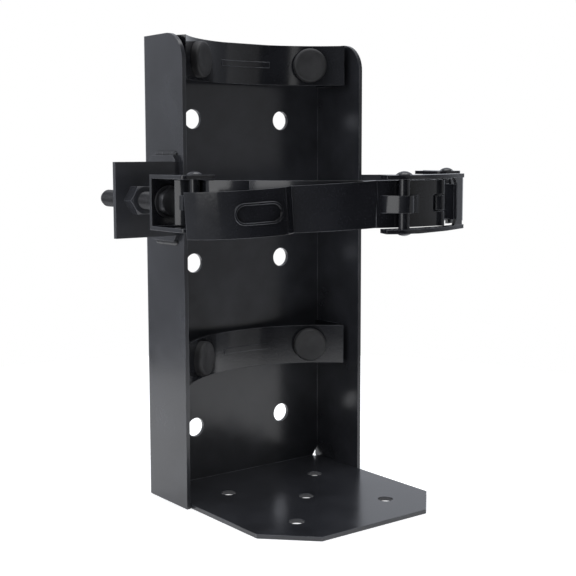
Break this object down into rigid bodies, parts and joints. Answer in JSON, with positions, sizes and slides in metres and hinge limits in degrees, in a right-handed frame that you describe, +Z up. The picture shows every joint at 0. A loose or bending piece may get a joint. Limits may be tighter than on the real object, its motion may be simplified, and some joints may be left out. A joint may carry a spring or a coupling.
{
  "type": "vehicle fire extinguisher bracket",
  "caption": "Black steel bracket that holds an upright cylinder to a wall: folded channel with shelf, rubber-faced saddles and an adjustable clamp band with a toggle latch.",
  "frame": {"origin": "centre of the rectangle of the four outer wall bolt holes, on the back face of the channel", "axes": "+Z up, along the cylinder that the bracket holds; +Y into the wall; +X to the right seen from the front"},
  "size_m": [0.2387, 0.204, 0.3133],
  "materials": {
    "black_paint": "gloss black baked enamel on steel",
    "black_zinc": "satin black zinc plating",
    "rubber": "matte black moulded rubber"
  },
  "bodies": {
    "frame": {"back_channel": "black_paint", "upper_saddle": "black_paint", "lower_saddle": "black_paint", "saddle_welds": "black_paint", "bumper_upper_left": "rubber", "bumper_upper_right": "rubber", "bumper_lower_left": "rubber", "bumper_lower_right": "rubber", "bumper_studs": "black_zinc", "anchor_bracket": "black_paint", "anchor_welds": "black_paint", "weld_nut": "black_paint", "right_anchor_strap": "black_paint", "right_welds": "black_paint", "right_clevis": "black_paint", "keeper_pin": "black_paint"},
    "tension_clevis": {"left_clevis": "black_paint", "bolt_washer": "black_zinc", "strap_pin": "black_paint"},
    "tension_bolt": {"clamp_bolt": "black_zinc"},
    "band": {"front_strap": "black_paint", "handle_pin": "black_paint"},
    "lever": {"handle": "black_paint", "bail_pin": "black_paint"},
    "bail": {"latch_bail": "black_paint"},
    "keeper": {"keeper_strap": "black_paint"}
  },
  "joints": [
    {"name": "tension_adjust", "type": "slide", "parent": "frame", "child": "tension_clevis", "axis": [0, -1, 0], "range_m": [0, 0.0079]},
    {"name": "bolt_turn", "type": "hinge", "parent": "tension_clevis", "child": "tension_bolt", "pos_m": [-0.107, -0.082, 0.0563], "axis": [0, -1, 0], "range_deg": [0, 1638.6]},
    {"name": "strap_swing", "type": "hinge", "parent": "tension_clevis", "child": "band", "pos_m": [-0.103, -0.105, 0.0563], "axis": [0, 0, -1], "range_deg": [0, 45]},
    {"name": "handle_open", "type": "hinge", "parent": "band", "child": "lever", "pos_m": [0.00997, -0.19336, 0.0563], "axis": [0, 0, 1], "range_deg": [0, 150]},
    {"name": "bail_swing", "type": "hinge", "parent": "lever", "child": "bail", "pos_m": [-0.02063, -0.197, 0.0563], "axis": [0, 0, -1], "range_deg": [0, 180]},
    {"name": "keeper_swing", "type": "hinge", "parent": "frame", "child": "keeper", "pos_m": [0.104, -0.108, 0.0563], "axis": [0, 0, 1], "range_deg": [0, 15]}
  ],
  "couplings": [
    {"joint": "bolt_turn", "follows": "tension_adjust", "rad_per_m": 3463.7},
    {"joint": "strap_swing", "follows": "handle_open", "ratio": 0.3},
    {"joint": "bail_swing", "follows": "handle_open", "ratio": 1.2},
    {"joint": "keeper_swing", "follows": "handle_open", "ratio": 0.1}
  ]
}
